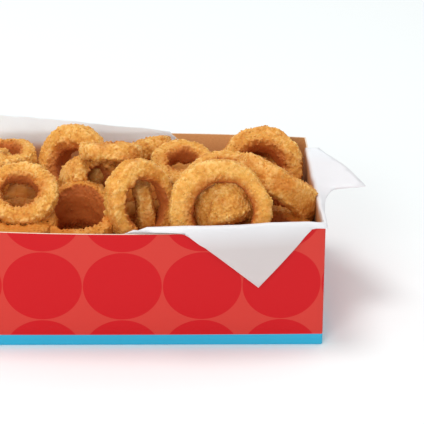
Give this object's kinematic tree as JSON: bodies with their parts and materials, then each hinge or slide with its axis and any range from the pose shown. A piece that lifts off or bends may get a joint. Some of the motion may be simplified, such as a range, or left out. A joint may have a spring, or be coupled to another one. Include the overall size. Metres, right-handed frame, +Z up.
{
  "type": "onion rings side",
  "caption": "Breaded onion rings heaped in a printed paperboard dinner box that is lined with a white deli sheet.",
  "frame": {"origin": "middle of the underside of the box", "axes": "+X along the box to the right, +Y from the front wall to the back wall, +Z up"},
  "size_m": [0.2762, 0.1446, 0.1055],
  "materials": {
    "printed_board": "satin",
    "deli_paper": "satin",
    "fried_crust": "matte"
  },
  "bodies": {
    "root": {"box": "printed_board", "liner_sheet": "deli_paper", "ring_bed": "fried_crust", "ring_front_right": "fried_crust", "ring_in_hole": "fried_crust", "ring_front_centre": "fried_crust", "ring_front_left": "fried_crust", "ring_back_left": "fried_crust", "ring_back_right": "fried_crust", "ring_right_wide": "fried_crust", "ring_back_centre": "fried_crust", "ring_behind_right": "fried_crust", "ring_centre": "fried_crust", "ring_open_front": "fried_crust", "ring_under_centre": "fried_crust", "ring_small_on_edge": "fried_crust", "ring_small_back": "fried_crust", "ring_left_back": "fried_crust", "ring_back_edge": "fried_crust", "ring_middle_right": "fried_crust", "ring_low_right": "fried_crust", "ring_low_front": "fried_crust", "ring_end_front": "fried_crust", "ring_end_middle": "fried_crust", "ring_end_back": "fried_crust"}
  },
  "joints": []
}
